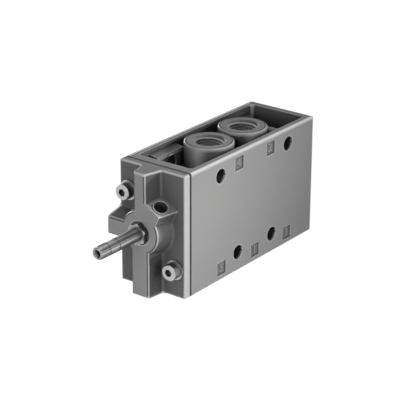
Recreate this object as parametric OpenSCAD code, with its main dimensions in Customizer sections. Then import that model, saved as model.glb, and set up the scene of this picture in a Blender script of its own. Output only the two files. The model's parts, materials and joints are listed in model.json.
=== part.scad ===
// Five-port, two-position spool valve for compressed air with a solenoid pilot.
// X runs from the pilot head to the closed rear end, Y across, Z up.
// The origin lies on the bottom face, on the axis of supply port 1.

/* [Body] */
// Width of the body across Y
body_w = 34; // [33:0.5:42]
// Height of the body
body_h = 54.5; // [54:0.1:62]
// Distance from the head joint to the axis of port 1
front_len = 45.8; // [45.4:0.2:52]
// Distance from the axis of port 1 to the rear face
rear_len = 43.4; // [43:0.2:52]
// Radius of the outer casting edges
edge_r = 0.9; // [0.6:0.1:1.6]
// Radius of the corners of the rear end, seen from the side and from above
rear_corner_r = 1.8; // [0.6:0.1:2.6]
// Thickness of the long walls beside the cavity
side_wall = 3.0; // [2.4:0.1:3.6]
// Thickness of the front wall at the cavity
front_wall = 4.4; // [3.8:0.1:5.4]
// Thickness of the rear wall at the cavity
rear_wall = 4.3; // [3.2:0.1:5]
// Radius of the corners of the cavity
cavity_r = 2.0; // [1:0.2:3]
// Depth of the cavity in front of and behind the port bosses
cavity_depth = 14.1; // [10:0.1:14.4]

/* [Ports] */
// Spacing of ports 5, 1 and 3 along the bottom
port_pitch = 24; // [23.8:0.1:26]
// Shift of ports 4 and 2 toward the rear
service_shift = 0.8; // [0:0.1:1]
// Major diameter of the G1/4 port thread
port_d = 13.16; // [10:0.02:13.2]
// Mouth diameter of the port chamfer
port_mouth_d = 13.9; // [13.4:0.1:15]
// Depth of the port thread
port_depth = 12; // [9:0.5:12]
// Diameter of the air passage behind each port thread
passage_d = 8; // [5:0.5:8]
// Outside diameter of the upper port bosses
boss_d = 21.4; // [19:0.1:22]
// How far those bosses stand above the rim
boss_rise = 0.5; // [0:0.1:0.8]
// Radius of the round top edge of the bosses
boss_edge_r = 0.7; // [0.4:0.1:1]
// Diameter of the round shoulders at the foot of the upper port bosses
shoulder_d = 26.4; // [23:0.2:27.6]
// Depth of those shoulders below the rim
shoulder_drop = 10; // [6:0.5:13]
// Drop of the web between the bosses below the rim
web_drop = 1.6; // [1:0.1:4]

/* [Mounting] */
// Diameter of the mounting holes through the body
mount_d = 6.4; // [5:0.1:6.6]
// Spacing of the upper mounting holes
mount_pitch_top = 48.5; // [48:0.5:50]
// Spacing of the lower mounting holes
mount_pitch_low = 24.9; // [24.5:0.1:25.4]
// Shift of the mounting holes toward the pilot head
mount_shift = 1.4; // [0.8:0.1:1.6]
// Depth of the upper mounting holes below the top
mount_drop = 7.2; // [6.6:0.1:8]
// Height of the lower mounting holes above the bottom
mount_rise = 8.7; // [7:0.1:9]
// Outside diameter of the tubes around the upper mounting holes
mount_tube_d = 10.4; // [9.5:0.1:12]

/* [Number pads] */
// Side of the recessed number pads
pad_side = 5.9; // [4:0.1:6.4]
// Depth of the number pads
pad_depth = 0.4; // [0.2:0.1:0.8]
// Distance of the pad centres from the top or bottom edge
pad_inset = 5.4; // [4.6:0.1:6]
// Spacing of the two upper pads
pad_pitch_top = 22.6; // [20:0.2:24]

/* [Pilot head] */
// Thickness of the head flange
flange_t = 3.76; // [3.4:0.02:4.6]
// How far the ribs stand out of the flange
rib_rise = 8.5; // [7.8:0.1:9.6]
// Height of the pilot axis above the bottom face
pilot_z = 28.5; // [27.4:0.1:29]
// Draft angle of the upper and side ribs
rib_draft = 14; // [8:1:18]
// Draft angle of the lower rib
low_rib_draft = 7; // [3:1:12]
// Front width of the upper rib
up_rib_w = 5.5; // [4:0.1:6]
// Front width of the lower rib
low_rib_w = 8.7; // [7:0.1:9.4]
// Front height of the side rib
side_rib_w = 7.5; // [6:0.1:8]
// Front radius of the round centre boss
hub_r = 9.2; // [8.8:0.1:10]
// Draft angle of the centre boss
hub_draft = 12; // [6:1:14]
// Radius of the front edges of the ribs and the boss
rib_edge_r = 1.2; // [0.5:0.1:1.3]
// Radius of the fillets at the foot of the ribs
rib_foot_r = 1.2; // [0.6:0.1:1.6]
// Tilt of the override block below the horizontal
block_tilt = 29.5; // [25:0.5:33]
// Distance of the front edge of the override face from the pilot axis
block_reach = 12.9; // [12.4:0.1:13.6]
// Distance of the front end of the override block along its tilt
block_end = 4.4; // [3.6:0.1:5]
// Draft angle of the override face
block_draft = 15; // [13:1:18]

/* [Joint of body and head] */
// Thickness of the gasket between body and head
gasket_t = 0.5; // [0.3:0.1:0.8]
// How far the gasket lies inside the outline
gasket_inset = 0.5; // [0.3:0.1:1]
// Shank diameter of the head screws
screw_d = 4; // [3:0.5:4]
// Length of the screw shank
screw_len = 16; // [12:1:18]
// Distance of the screws from the middle plane
screw_y = 12; // [11.6:0.1:12.4]
// Distance of the screws from the mid height
screw_z = 14.7; // [14:0.1:15.4]
// Thickness of the spring washers
washer_t = 0.9; // [0.6:0.1:1.2]

/* [Spool] */
// Diameter of the bore that holds cages and seals
bore_d = 18; // [17:0.1:18.4]
// Diameter of the spool lands
land_d = 10; // [9:0.1:10.6]
// Diameter of the spool necks
neck_d = 6.4; // [6:0.1:7]
// Thickness of each seal ring
ring_t = 3; // [2.4:0.1:3.2]
// Length of the front bush, between the pilot cylinder and the first seal ring
front_bush_len = 3.25; // [2.5:0.05:3.25]
// Diameter of the pilot cylinder
pilot_cyl_d = 24; // [22:0.2:25]
// Thickness of the pilot piston
piston_t = 3.8; // [3:0.1:3.9]
// Wall of the rear end of the spool bore
bore_end_wall = 5; // [3:0.2:5.2]

/* [Solenoid pilot] */
// Outside diameter of the armature tube
tube_d = 5.7; // [5.6:0.1:6.4]
// Wall of the armature tube
tube_wall = 0.5; // [0.4:0.05:0.6]
// Distance of the tube end from the face of the hexagon
tube_reach = 23.9; // [23:0.1:30]
// Width across the flats of the tube hexagon
hex_af = 8.4; // [8:0.1:10]
// Thickness of the tube hexagon
hex_t = 2.6; // [2:0.1:3.2]
// Depth of the round seat of the hexagon
spotface_depth = 0.3; // [0.2:0.1:0.8]
// Diameter of the threaded end of the core
core_thread_d = 5.3; // [5:0.1:5.3]
// Length of that thread
core_thread_len = 5.6; // [4:0.2:7]
// Length of the fixed core outside the tube
core_len = 9.7; // [9:0.1:11]
// Length of the fixed core inside the tube
core_plug_len = 1.6; // [1:0.1:3]
// Lift of the armature
armature_travel = 0.8; // [0.5:0.1:1]
// Diameter of the override spindle
override_d = 5.7; // [5:0.1:6]
// Depth of the spindle head below its face
override_sink = 3.4; // [2.4:0.1:3.6]
// Radius of the arc that is engraved beside the spindle
mark_r = 3.65; // [3.5:0.05:3.9]

/* [Fits] */
// Radial clearance of sliding pieces
slide_gap = 0.05; // [0.03:0.01:0.08]
// Radial clearance of pieces that are only laid in place
place_gap = 0.05; // [0.02:0.01:0.1]

/* [Hidden] */
$fn = 64;
eps = 0.01;
body_l = front_len + rear_len;
seam_x = -front_len;
rear_x = rear_len;
cast_x = seam_x + gasket_t / 2;
head_x = seam_x - gasket_t / 2;
head_front_x = seam_x - flange_t - rib_rise;
flange_front_x = seam_x - flange_t;
mid_z = body_h / 2;
bore_z = mid_z;
cavity_x0 = seam_x + front_wall;
cavity_x1 = rear_x - rear_wall;
cavity_w = body_w - 2 * side_wall;
cavity_z = body_h - cavity_depth;
lower_ports = [-port_pitch, 0, port_pitch];
upper_ports = [-port_pitch / 2 + service_shift, port_pitch / 2 + service_shift];
upper_mounts = [-mount_shift - mount_pitch_top / 2, -mount_shift + mount_pitch_top / 2];
lower_mounts = [-mount_shift / 2 - mount_pitch_low / 2, -mount_shift / 2 + mount_pitch_low / 2];
mount_z = body_h - mount_drop;
mount_tube_r = mount_tube_d / 2;
screw_spots = [[screw_y, mid_z + screw_z], [-screw_y, mid_z - screw_z]];
screw_head_d = 1.75 * screw_d;
screw_hole_d = screw_d + 2 * place_gap;
washer_d = screw_head_d + 1.6;
port_r = port_d / 2;
chamfer_h = (port_mouth_d - port_d) / 2;
// The rear end of the spool bore and the row of rings and cages in it
bore_end_x = rear_x - bore_end_wall;
ring_pitch = port_pitch / 2;
ring_x = [for (i = [0:5]) (i - 2.5) * ring_pitch];
cage_len = ring_pitch - ring_t - 2 * place_gap;
stack_front_x = ring_x[0] - ring_t / 2 - place_gap;
stack_rear_x = ring_x[5] + ring_t / 2 + place_gap;
bush_shoulder_x = stack_front_x - front_bush_len;
// The spool, at rest against the pilot head
spool_end_x = stack_rear_x + 0.1;
neck_len = ring_pitch;
neck_a_x = ring_x[1] - ring_t / 2 - 0.5;
neck_b_x = ring_x[3] - ring_t / 2 - 0.5;
piston_x = cast_x + 0.15;
spool_start_x = piston_x + piston_t + 3.2;
piston_stem_r = 4;
spring_hole_d = 5.4;
spring_hole_len = 13.6;
spring_wire = 0.8;
spring_turns = 11;
piston_groove = 2.2;
piston_groove_depth = 2;
// Pilot air channels
channel_d = 2.2;
channel_y = 9.6;
channel_z = 14.5;
chamber_r = 6;
passage_r = 0.8;
passage_y = 3.7;
// The boss of the upper mounting hole on the left wall, and the boss of the screw beside it
block_x0 = upper_mounts[0] - 8.3;
block_x1 = upper_ports[0] - boss_d / 4;
block_y = 8.8;
block_top = body_h - 2.3;
block_fall = 0.8;
block_bevel = 0.8;
// The screwed end of the armature tube and what lies on the pilot axis
hub_face_x = head_front_x + spotface_depth;
hex_face_x = hub_face_x - hex_t;
tube_end_x = hex_face_x - tube_reach;
tube_r = tube_d / 2;
bore_r = tube_r - tube_wall;
shank_r = tube_r + 1;
hex_turn = 6.6;
hex_chamfer = 0.5;
shank_len = 3.2;
seal_groove = 1.6;
seal_groove_r = bore_r + 0.55;
well_r = shank_r + place_gap;
well_x = hub_face_x + 7.1;
nozzle_r = 2.2;
nozzle_tip = 1.1;
nozzle_x = well_x - nozzle_tip;
nozzle_len = 2.4;
nozzle_orifice_r = 0.5;
core_x = tube_end_x + core_len;
armature_r = bore_r - slide_gap;
disc_t = 1.2;
disc_r = 1.6;
armature_front_x = nozzle_x - place_gap;
armature_back_x = core_x + core_plug_len + armature_travel;
armature_hole_r = 1.3;
armature_hole_len = 6;
collar_r = shank_r - 0.45;
collar_t = 0.7;
collar_x = hub_face_x + shank_len + armature_travel + 0.3;
pin_wire = 0.35;
// The override block, drawn in a frame that is tilted about the pilot axis
block_front_n = block_reach;
block_root_n = block_reach + rib_rise * tan(block_draft);
block_root_d = block_end + rib_rise * tan(block_draft);
override_n = (block_front_n + block_root_n) / 2;
override_along = 0.9;
override_x = (head_front_x + flange_front_x) / 2 + 0.35;
override_r = override_d / 2;
override_depth = 8.6;
override_len = override_depth - override_sink - 0.1;
nose_r = 1.2;
nose_end = 10.8;
pin_r = 0.7;
pin_offset = override_r - 0.1;
pin_level = override_sink + 2.1;
pin_from = -8.6;
pin_to = 2.4;
spindle_seal_z0 = override_sink + 3.3;
spindle_seal_z1 = override_sink + 4.5;
mark_w = 0.5;
mark_depth = 0.35;
mark_from = 140;
mark_to = 237;

// Circle of a round edge or a straight stretch of wall, both exact
module rod_x(x0, x1, r, y = 0, z = 0) {
    translate([x0, y, z]) rotate([0, 90, 0]) cylinder(h = x1 - x0, r = r);
}

module rod_y(y0, y1, r, x = 0, z = 0) {
    translate([x, y1, z]) rotate([90, 0, 0]) cylinder(h = y1 - y0, r = r);
}

module rod_z(z0, z1, r, x = 0, y = 0) {
    translate([x, y, z0]) cylinder(h = z1 - z0, r = r);
}

module cone_z(z0, z1, r0, r1, x = 0, y = 0) {
    translate([x, y, z0]) cylinder(h = z1 - z0, r1 = r0, r2 = r1);
}

// Rectangle from the origin along +X whose far corners are round
module far_rounded(len, wid, r) {
    translate([0, -wid / 2]) square([len - r, wid]);
    translate([0, -wid / 2 + r]) square([len, wid - 2 * r]);
    for (s = [-1, 1]) translate([len - r, s * (wid / 2 - r)]) circle(r);
}

// Rectangle with four round corners, centred
module rounded(a, b, r) {
    square([a - 2 * r, b], center = true);
    square([a, b - 2 * r], center = true);
    for (s = [-1, 1], t = [-1, 1]) translate([s * (a / 2 - r), t * (b / 2 - r)]) circle(r);
}

// Block from x = 0 to len whose long edges and far end are round
module cast_block(len, wid, high, r, corner_r) {
    intersection() {
        translate([0, 0, -1]) linear_extrude(high + 2) far_rounded(len, wid, corner_r);
        translate([0, wid / 2 + 1, high / 2]) rotate([90, 0, 0])
            linear_extrude(wid + 2) far_rounded(len, high, corner_r);
        translate([-1, 0, high / 2]) rotate([90, 0, 90])
            linear_extrude(len + 2) rounded(wid, high, r);
    }
}

// Ring around the X axis line of the spool bore
module ring_x_at(x0, x1, r_out, r_in, z = bore_z) {
    difference() {
        rod_x(x0, x1, r_out, 0, z);
        rod_x(x0 - 1, x1 + 1, r_in, 0, z);
    }
}

// Wire bent into a helix along +X, swept as one closed tube
module helix(r, wire, turns, len, steps = 16, sides = 8) {
    seat = wire / 2 + place_gap;
    pitch = (len - 2 * seat) / turns;
    count = round(turns * steps);
    points = [for (i = [0:count], k = [0:sides - 1])
        let (a = 360 * i / steps, b = 360 * k / sides, rr = r + wire / 2 * cos(b))
        [seat + pitch * a / 360 + wire / 2 * sin(b), rr * cos(a), rr * sin(a)]];
    skin = [for (i = [0:count - 1], k = [0:sides - 1])
        let (n = (k + 1) % sides)
        [i * sides + k, i * sides + n, (i + 1) * sides + n, (i + 1) * sides + k]];
    first = [for (k = [sides - 1:-1:0]) k];
    last = [for (k = [0:sides - 1]) count * sides + k];
    polyhedron(points, concat([first], skin, [last]), convexity = 10);
}

// Half outline of a drafted rib: foot fillet, sloping side and round front edge.
// across is measured from the middle of the rib, out from the flange face.
function rib_side(front, out, draft, edge, foot) =
    let (root = front + out * tan(draft),
        foot_run = foot * tan(45 - draft / 2),
        edge_run = edge * tan(45 - draft / 2))
    concat(
        [for (i = [0:6]) let (a = 270 - (90 - draft) * i / 6)
            [root + foot_run + foot * cos(a), foot + foot * sin(a)]],
        [for (i = [0:6]) let (a = draft + (90 - draft) * i / 6)
            [front - edge_run + edge * cos(a), out - edge + edge * sin(a)]]);

// Whole outline of a symmetric rib, with its foot sunk into the flange
function rib_outline(front, out, draft) =
    let (side = rib_side(front, out, draft, rib_edge_r, rib_foot_r),
        n = len(side),
        wide = side[0][0])
    concat([[wide, -1]], side, [for (i = [n - 1:-1:0]) [-side[i][0], side[i][1]]], [[-wide, -1]]);

// Outline points turned so that out runs toward -X from the flange face
function toward_front(pts) = [for (p = pts) [flange_front_x - p[1], p[0]]];

// The frame of the override block: X as before, Y along the tilt, Z out of the pilot axis
module block_frame() {
    translate([0, 0, pilot_z]) rotate([block_tilt, 0, 0]) mirror([0, 1, 0]) children();
}

// The frame of the override bore: Z out of the middle of the sloping face
module override_frame() {
    block_frame() translate([override_x, override_along, override_n])
        rotate([0, -block_draft, 0]) children();
}

module port_bore(z_mouth, up, x) {
    mirror([0, 0, up ? 1 : 0]) translate([x, 0, up ? -z_mouth : z_mouth]) {
        rod_z(-1, port_depth, port_r);
        cone_z(-eps, chamfer_h, port_r + chamfer_h + eps, port_r);
        cone_z(port_depth - eps, port_depth + port_r - passage_d / 2, port_r, passage_d / 2);
    }
}

// Round boss of an upper port, with a round top edge
module port_boss(x) {
    r = boss_d / 2;
    e = boss_edge_r;
    top = body_h + boss_rise;
    translate([x, 0, 0]) rotate_extrude() {
        translate([0, cavity_z - 1]) square([r, top - e - cavity_z + 1]);
        translate([0, cavity_z - 1]) square([r - e, top - cavity_z + 1]);
        translate([r - e, top - e]) intersection() {
            circle(e);
            square(e);
        }
    }
}

module upper_castings() {
    // Shoulders and bosses of the two upper ports
    for (x = upper_ports) {
        rod_z(cavity_z - 1, body_h - shoulder_drop, shoulder_d / 2, x);
        port_boss(x);
    }
    translate([upper_ports[0], -boss_d / 8, cavity_z - 1])
        cube([port_pitch, boss_d / 4, cavity_depth + 1 - web_drop]);
    // Boss of the front mounting hole on the left wall, with a bevelled edge
    difference() {
        translate([block_x0, 0, 0]) rotate([90, 0, 90]) linear_extrude(block_x1 - block_x0)
            polygon([[block_y, cavity_z - 1], [cavity_w / 2 + 1, cavity_z - 1],
                [cavity_w / 2 + 1, block_top], [block_y, block_top - block_fall]]);
        translate([block_x0 - 1, block_y, block_top - block_fall]) rotate([45, 0, 0])
            translate([0, -block_bevel / sqrt(2), -block_bevel / sqrt(2)])
                cube([block_x1 - block_x0 + 2, block_bevel * sqrt(2), block_bevel * sqrt(2)]);
    }
    // Boss of the upper head screw
    translate([cavity_x0 - 1, block_y, cavity_z - 1])
        cube([block_x0 - cavity_x0 + 2, cavity_w / 2 + 1 - block_y, mid_z + screw_z + screw_d - cavity_z + 1]);
    // Tubes around the upper mounting holes
    rod_y(-cavity_w / 2 - 1, -cavity_w / 2 + 2, mount_tube_r, upper_mounts[0], mount_z);
    rod_y(-cavity_w / 2 - 1, cavity_w / 6, mount_tube_r, upper_mounts[1], mount_z);
    translate([upper_mounts[1] - mount_tube_r * 0.7, -cavity_w / 2 - 1, cavity_z - 1])
        cube([mount_tube_r * 1.4, cavity_w * 2 / 3 + 1, mount_z - cavity_z + 1]);
    // Round pillar in the rear left corner
    rod_z(cavity_z - 1, body_h - 4, 3.3, cavity_x1 - 6.2, cavity_w / 2 - 1.2);
}

module body_casting() {
    color([0.52, 0.53, 0.54]) difference() {
        union() {
            difference() {
                translate([cast_x, 0, 0]) cast_block(rear_x - cast_x, body_w, body_h, edge_r, rear_corner_r);
                translate([(cavity_x0 + cavity_x1) / 2, 0, cavity_z])
                    linear_extrude(cavity_depth + 1)
                        rounded(cavity_x1 - cavity_x0, cavity_w, cavity_r);
            }
            intersection() {
                upper_castings();
                translate([cavity_x0 - 0.5, -cavity_w / 2 - 0.5, cavity_z - 1])
                    cube([cavity_x1 - cavity_x0 + 1, cavity_w + 1, cavity_depth + 1 + boss_rise]);
            }
        }
        // Spool bore and pilot cylinder
        rod_x(cast_x - 1, bore_end_x, bore_d / 2, 0, bore_z);
        rod_x(cast_x - 1, bush_shoulder_x, pilot_cyl_d / 2, 0, bore_z);
        // Ports
        for (x = lower_ports) {
            port_bore(0, false, x);
            rod_z(port_depth, bore_z, passage_d / 2, x);
        }
        for (x = upper_ports) {
            port_bore(body_h + boss_rise, true, x);
            rod_z(bore_z, body_h + boss_rise - port_depth, passage_d / 2, x);
        }
        // Mounting holes
        for (x = upper_mounts) rod_y(-body_w / 2 - 1, body_w / 2 + 1, mount_d / 2, x, mount_z);
        for (x = lower_mounts) rod_y(-body_w / 2 - 1, body_w / 2 + 1, mount_d / 2, x, mount_rise);
        // Tapped holes of the head screws
        for (p = screw_spots)
            rod_x(cast_x - 1, flange_front_x - washer_t + screw_len + 1, screw_hole_d / 2, p[0], p[1]);
        // Pilot supply channel from the head joint to port 1
        rod_x(cast_x - 1, channel_d / 2, channel_d / 2, channel_y, channel_z);
        rod_y(0, channel_y, channel_d / 2, 0, channel_z);
        // Number pads
        for (x = [-pad_pitch_top / 2, pad_pitch_top / 2]) number_pad(x - mount_shift, body_h - pad_inset);
        for (x = lower_ports) number_pad(x - mount_shift / 2, pad_inset);
    }
}

module number_pad(x, z) {
    translate([x - pad_side / 2, -body_w / 2 - 1, z - pad_side / 2])
        cube([pad_side, 1 + pad_depth, pad_side]);
}

module head_ribs() {
    // Upper and lower rib
    translate([0, 0, pilot_z]) linear_extrude(body_h - pilot_z + 1)
        polygon(toward_front(rib_outline(up_rib_w / 2, rib_rise, rib_draft)));
    translate([0, 0, -1]) linear_extrude(pilot_z + 1)
        polygon(toward_front(rib_outline(low_rib_w / 2, rib_rise, low_rib_draft)));
    // Side rib to the left
    translate([0, body_w / 2 + 1, mid_z + (pilot_z - mid_z) / 2]) rotate([90, 0, 0])
        linear_extrude(body_w / 2 + 1)
            polygon(toward_front(rib_outline(side_rib_w / 2, rib_rise, rib_draft)));
    // Round centre boss
    hub = rib_side(hub_r, rib_rise, hub_draft, rib_edge_r, rib_foot_r);
    translate([flange_front_x, 0, pilot_z]) rotate([0, -90, 0]) rotate_extrude()
        polygon(concat([[0, -1], [hub[0][0], -1]], hub, [[0, rib_rise]]));
    // Override block
    block_frame() intersection() {
        translate([0, block_root_d + 3, 0]) rotate([90, 0, 0]) linear_extrude(block_root_d + 9.5)
            polygon(concat([[flange_front_x + 1, 0]],
                toward_front(concat([[block_root_n + 2, -1]],
                    rib_side(block_front_n, rib_rise, block_draft, rib_edge_r / 2, rib_foot_r / 2))),
                [[head_front_x, 0]]));
        linear_extrude(block_root_n + 3)
            polygon(concat([[flange_front_x + 1, -6.5]],
                toward_front(concat([[block_root_d + 2, -1]],
                    rib_side(block_end, rib_rise, block_draft, rib_edge_r / 2, rib_foot_r / 2))),
                [[head_front_x, -6.5]]));
    }
}

module pilot_head() {
    color([0.42, 0.43, 0.44]) difference() {
        union() {
            mirror([1, 0, 0]) translate([-head_x, 0, 0])
                cast_block(flange_t - gasket_t / 2, body_w, body_h, edge_r, edge_r);
            intersection() {
                head_ribs();
                mirror([1, 0, 0]) translate([-head_x, 0, 0])
                    cast_block(flange_t + rib_rise - gasket_t / 2, body_w, body_h, edge_r, edge_r);
            }
        }
        // Holes of the two head screws
        for (p = screw_spots) rod_x(head_front_x, head_x + 1, screw_hole_d / 2, p[0], p[1]);
        // Seat, thread well and nozzle socket of the armature tube
        rod_x(head_front_x - 1, hub_face_x, hex_af / 2 / cos(30) + 0.3, 0, pilot_z);
        rod_x(hub_face_x - 1, well_x, well_r, 0, pilot_z);
        rod_x(well_x - 1, nozzle_x + nozzle_len, nozzle_r + place_gap, 0, pilot_z);
        // Pilot chamber and the channels in the joint face
        rod_x(head_x - 0.7, head_x + 1, chamber_r, 0, pilot_z);
        rod_x(well_x - 1, head_x, passage_r, passage_y, pilot_z);
        feed_channel();
        // Bore of the manual override
        override_frame() {
            rod_z(-override_depth, 2, override_r + slide_gap);
            rod_z(-nose_end - 0.2, 0, nose_r + slide_gap);
        }
        override_pin_bore();
        override_mark();
    }
}

// Groove in the joint face and the drilled way from it up to the nozzle
module feed_channel() {
    translate([head_x - 1.2, -channel_d / 2, channel_z - channel_d / 2])
        cube([2.2, channel_y + channel_d, channel_d]);
    rise = pilot_z - channel_z;
    run = head_x - nozzle_x - nozzle_len;
    translate([head_x, 0, channel_z]) rotate([0, -atan2(run, rise), 0])
        cylinder(h = norm([run, rise]), r = passage_r);
}

// Bore of the retaining pin, drilled in from the left side of the upper rib
module override_pin_bore() {
    override_frame() translate([-pin_offset, pin_to + 0.2, -pin_level]) rotate([90, 0, 0])
        cylinder(h = pin_to + 14, r = pin_r + 0.1);
}

// Engraved arc that shows the way the spindle turns
module override_mark() {
    reach = mark_r + 2;
    override_frame() translate([0, 0, -mark_depth]) {
        linear_extrude(mark_depth + 1) intersection() {
            difference() {
                circle(mark_r + mark_w / 2);
                circle(mark_r - mark_w / 2);
            }
            polygon([[0, 0], [reach * cos(mark_from), reach * sin(mark_from)],
                [reach * cos(180), reach * sin(180)], [reach * cos(mark_to), reach * sin(mark_to)]]);
        }
        rotate([0, 0, mark_to - 5]) translate([mark_r - mark_w * 1.3, -mark_w, 0])
            linear_extrude(mark_depth + 1)
                polygon([[0, 0], [mark_w * 2.6, 0], [mark_w * 1.3, mark_w * 2.4]]);
    }
}

module head_gasket() {
    color([0.09, 0.09, 0.1]) difference() {
        translate([seam_x - gasket_t / 2, 0, mid_z]) rotate([90, 0, 90]) linear_extrude(gasket_t)
            rounded(body_w - 2 * gasket_inset, body_h - 2 * gasket_inset, edge_r);
        rod_x(seam_x - 1, seam_x + 1, pilot_cyl_d / 2, 0, bore_z);
        rod_x(seam_x - 1, seam_x + 1, channel_d / 2, channel_y, channel_z);
        for (p = screw_spots) rod_x(seam_x - 1, seam_x + 1, screw_hole_d / 2, p[0], p[1]);
    }
}

module head_screws() {
    seat_x = flange_front_x - washer_t;
    color([0.75, 0.76, 0.77]) for (p = screw_spots) difference() {
        union() {
            rod_x(seat_x, seat_x + screw_len, screw_d / 2, p[0], p[1]);
            rod_x(seat_x - screw_d + 0.4, seat_x, screw_head_d / 2, p[0], p[1]);
            translate([seat_x - screw_d, p[0], p[1]]) rotate([0, 90, 0])
                cylinder(h = 0.4 + eps, r1 = screw_head_d / 2 - 0.4, r2 = screw_head_d / 2);
        }
        translate([seat_x - screw_d - 1, p[0], p[1]]) rotate([0, 90, 0]) rotate([0, 0, 17])
            cylinder(h = 1 + screw_d / 2, r = 0.75 * screw_d / 2 / cos(30), $fn = 6);
    }
}

module screw_washers() {
    color([0.6, 0.61, 0.62]) for (p = screw_spots) difference() {
        rod_x(flange_front_x - washer_t, flange_front_x, washer_d / 2, p[0], p[1]);
        rod_x(flange_front_x - washer_t - 1, flange_front_x + 1, screw_hole_d / 2, p[0], p[1]);
    }
}

module front_bush() {
    color([0.72, 0.6, 0.3])
        ring_x_at(bush_shoulder_x, stack_front_x, bore_d / 2 - place_gap, land_d / 2 + slide_gap);
}

module rear_bush() {
    color([0.72, 0.6, 0.3])
        ring_x_at(stack_rear_x, bore_end_x, bore_d / 2 - place_gap, land_d / 2 + 0.3);
}

// Spacer cage with a window on every side for the air
module cage(i) {
    x0 = ring_x[i] + ring_t / 2 + place_gap;
    color([0.82, 0.8, 0.72]) difference() {
        ring_x_at(x0, x0 + cage_len, bore_d / 2 - place_gap, bore_d / 2 - 2);
        for (a = [0:60:120]) translate([x0 + cage_len / 2, 0, bore_z]) rotate([a, 0, 0])
            cylinder(h = bore_d + 2, r = cage_len * 0.3, center = true);
    }
}

// Lip seal ring with rounded running edges
module seal_ring(i) {
    r_out = bore_d / 2 - place_gap;
    r_in = land_d / 2 + slide_gap;
    half = ring_t / 2;
    color([0.1, 0.1, 0.11]) translate([ring_x[i], 0, bore_z]) rotate([0, 90, 0])
        rotate_extrude() polygon([[r_in, -half * 0.5], [r_in + 0.8, -half], [r_out, -half],
            [r_out, half], [r_in + 0.8, half], [r_in, half * 0.5]]);
}

module spool() {
    r = land_d / 2;
    chamfer = 1.2;
    neck_r = neck_d / 2;
    color([0.78, 0.79, 0.8]) difference() {
        translate([0, 0, bore_z]) rotate([0, 90, 0]) rotate_extrude() polygon([
            [0, spool_start_x], [r - 0.5, spool_start_x], [r, spool_start_x + 0.5],
            [r, neck_a_x], [neck_r, neck_a_x + chamfer],
            [neck_r, neck_a_x + neck_len - chamfer], [r, neck_a_x + neck_len],
            [r, neck_b_x], [neck_r, neck_b_x + chamfer],
            [neck_r, neck_b_x + neck_len - chamfer], [r, neck_b_x + neck_len],
            [r, spool_end_x - 0.3], [r - 0.3, spool_end_x], [0, spool_end_x]]);
        rod_x(spool_end_x - spring_hole_len, spool_end_x + 1, spring_hole_d / 2, 0, bore_z);
    }
}

module pilot_piston() {
    r = pilot_cyl_d / 2 - slide_gap;
    mid = piston_x + piston_t / 2;
    half = piston_groove / 2;
    color([0.62, 0.6, 0.55]) difference() {
        union() {
            rod_x(piston_x, piston_x + piston_t, r, 0, bore_z);
            rod_x(piston_x + piston_t - eps, spool_start_x, piston_stem_r, 0, bore_z);
        }
        ring_x_at(mid - half, mid + half, r + 1, r - piston_groove_depth);
    }
}

module piston_seal() {
    r = pilot_cyl_d / 2 - slide_gap;
    mid = piston_x + piston_t / 2;
    half = piston_groove / 2 - place_gap;
    color([0.1, 0.1, 0.11])
        ring_x_at(mid - half, mid + half, r, r - piston_groove_depth + place_gap);
}

module return_spring() {
    x0 = spool_end_x - spring_hole_len;
    color([0.7, 0.7, 0.72]) translate([x0, 0, bore_z])
        helix(spring_hole_d / 2 - spring_wire / 2 - 0.2, spring_wire, spring_turns, bore_end_x - x0);
}

module armature_tube() {
    groove_x = core_x + 0.6;
    color([0.7, 0.7, 0.68]) difference() {
        union() {
            translate([hex_face_x, 0, pilot_z]) rotate([0, 90, 0]) rotate([0, 0, hex_turn]) intersection() {
                cylinder(h = hex_t, r = hex_af / 2 / cos(30), $fn = 6);
                union() {
                    cylinder(h = hex_chamfer, r1 = hex_af / 2 + 0.1, r2 = hex_af / 2 / cos(30));
                    translate([0, 0, hex_chamfer - eps]) cylinder(h = hex_t, r = hex_af / 2 / cos(30) + eps);
                }
            }
            rod_x(core_x, hex_face_x + eps, tube_r, 0, pilot_z);
            rod_x(hex_face_x + hex_t - eps, hub_face_x + shank_len, shank_r, 0, pilot_z);
        }
        rod_x(core_x - 1, hub_face_x + shank_len + 1, bore_r, 0, pilot_z);
        ring_x_at(groove_x, groove_x + 1.1, tube_r + 1, tube_r - 0.2, pilot_z);
        ring_x_at(hub_face_x + 0.8, hub_face_x + 0.8 + seal_groove, shank_r + 1, seal_groove_r, pilot_z);
    }
}

module tube_seal() {
    color([0.1, 0.1, 0.11])
        ring_x_at(hub_face_x + 0.8 + place_gap, hub_face_x + 0.8 + seal_groove - place_gap,
            shank_r, seal_groove_r + place_gap / 2, pilot_z);
}

module fixed_core() {
    plug_r = bore_r - place_gap;
    thread_x = tube_end_x + core_thread_len;
    color([0.72, 0.73, 0.74]) difference() {
        union() {
            rod_x(core_x - eps, core_x + core_plug_len, plug_r, 0, pilot_z);
            rod_x(thread_x, core_x, tube_r, 0, pilot_z);
            rod_x(tube_end_x + 0.4, thread_x + eps, core_thread_d / 2, 0, pilot_z);
            translate([tube_end_x, 0, pilot_z]) rotate([0, 90, 0])
                cylinder(h = 0.4 + eps, r1 = core_thread_d / 2 - 0.4, r2 = core_thread_d / 2);
        }
        rod_x(tube_end_x - 1, core_x + core_plug_len + 1, 0.9, 0, pilot_z);
        translate([tube_end_x - eps, 0, pilot_z]) rotate([0, 90, 0])
            cylinder(h = 1.4, r1 = 1.75, r2 = 0.9);
    }
}

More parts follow.
